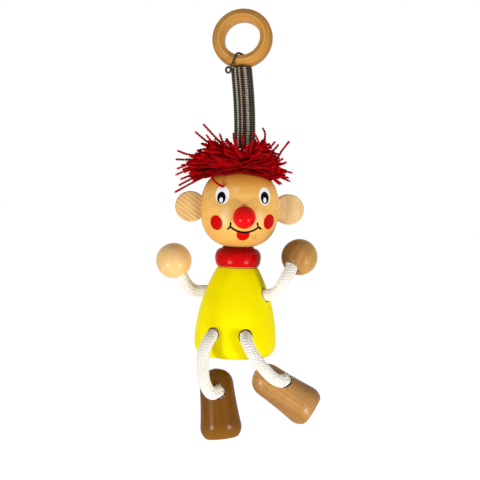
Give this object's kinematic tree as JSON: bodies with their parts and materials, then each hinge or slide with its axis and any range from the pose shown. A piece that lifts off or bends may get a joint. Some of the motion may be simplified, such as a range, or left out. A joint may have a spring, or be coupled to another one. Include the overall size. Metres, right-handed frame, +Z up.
{
  "type": "bouncing clown toy on a spring",
  "caption": "Wooden clown figure with rope arms and legs and yarn hair, hung from a turned wooden ring by a steel extension spring so that it bounces.",
  "frame": {"origin": "inside top of the hanging ring's hole, where the toy rests on a finger, cord or peg", "axes": "+Z up, the clown faces -Y, +X is the viewer's right"},
  "size_m": [0.0946, 0.0635, 0.2478],
  "materials": {
    "ring_wood": "satin varnish",
    "head_wood": "satin varnish",
    "bare_wood": "sanded, unvarnished",
    "dark_wood": "oiled",
    "shoe_wood": "brown stain under gloss varnish",
    "red_enamel": "gloss red enamel on wood",
    "yellow_enamel": "gloss yellow enamel on wood",
    "red_yarn": "wool yarn",
    "cotton_rope": "braided cotton",
    "spring_steel": "drawn, dark",
    "zinc_steel": "zinc plated"
  },
  "bodies": {
    "ring": {"hanging_ring": "ring_wood"},
    "spring_top": {"spring_hook": "spring_steel", "spring_coil": "spring_steel"},
    "spring_foot": {"spring_foot_loop": "spring_steel"},
    "figure": {"head_screw_eye": "zinc_steel", "hair_tuft": "red_yarn", "head": "head_wood", "left_ear": "bare_wood", "right_ear": "bare_wood", "nose": "red_enamel", "collar": "red_enamel", "neck_dowel": "bare_wood", "body": "yellow_enamel"},
    "left_arm": {"left_arm_rope": "cotton_rope", "left_hand": "bare_wood"},
    "right_arm": {"right_arm_rope": "cotton_rope", "right_hand": "dark_wood"},
    "left_leg": {"left_leg_rope": "cotton_rope"},
    "left_foot": {"left_shoe": "shoe_wood"},
    "right_leg": {"right_leg_rope": "cotton_rope"},
    "right_foot": {"right_shoe": "shoe_wood"}
  },
  "joints": [
    {"name": "ring_turn", "type": "hinge", "parent": "ring", "child": "spring_top", "pos_m": [-0.00025, -0.00147, -0.0106], "axis": [0.1634, 0.9767, -0.1392], "range_deg": [-60, 60]},
    {"name": "spring_stretch", "type": "slide", "parent": "spring_top", "child": "spring_foot", "axis": [0, 0, -1], "range_m": [0, 0.09], "stiffness_N_per_m": 141, "springref_m": -0.0085, "deforming": ["spring_coil"]},
    {"name": "figure_nod", "type": "hinge", "parent": "spring_foot", "child": "figure", "pos_m": [-0.00095, -0.0034, -0.0819], "axis": [0.9994, 0, -0.0349], "range_deg": [-15, 15]},
    {"name": "left_shoulder", "type": "hinge", "parent": "figure", "child": "left_arm", "pos_m": [-0.02183, 0.00215, -0.15663], "axis": [0.0889, 0.9948, 0.0491], "range_deg": [-45, 15], "stiffness_Nm_per_rad": 0.01, "springref_deg": 2.64, "deforming": ["left_arm_rope"]},
    {"name": "right_shoulder", "type": "hinge", "parent": "figure", "child": "right_arm", "pos_m": [0.01281, -0.00779, -0.15866], "axis": [-0.4553, -0.8898, -0.0308], "range_deg": [-45, 15], "stiffness_Nm_per_rad": 0.01, "springref_deg": 2.85, "deforming": ["right_arm_rope"]},
    {"name": "left_hip", "type": "hinge", "parent": "figure", "child": "left_leg", "pos_m": [-0.01712, -0.0178, -0.18078], "axis": [-0.9994, 0, 0.0349], "range_deg": [-3, 45], "stiffness_Nm_per_rad": 0.012, "springref_deg": -1.18, "deforming": ["left_leg_rope"]},
    {"name": "left_ankle", "type": "hinge", "parent": "left_leg", "child": "left_foot", "pos_m": [-0.01493, -0.01955, -0.21251], "axis": [-0.9944, -0.0189, -0.1039], "range_deg": [-10, 25], "stiffness_Nm_per_rad": 0.006, "springref_deg": -3.4},
    {"name": "right_hip", "type": "hinge", "parent": "figure", "child": "right_leg", "pos_m": [0.00142, -0.02082, -0.18159], "axis": [-0.9994, 0, 0.0349], "range_deg": [-2, 45], "stiffness_Nm_per_rad": 0.012, "springref_deg": -1.3, "deforming": ["right_leg_rope"]},
    {"name": "right_ankle", "type": "hinge", "parent": "right_leg", "child": "right_foot", "pos_m": [0.02249, -0.0211, -0.20559], "axis": [-0.466, -0.491, -0.736], "range_deg": [-5, 25], "stiffness_Nm_per_rad": 0.006, "springref_deg": -0.88}
  ]
}
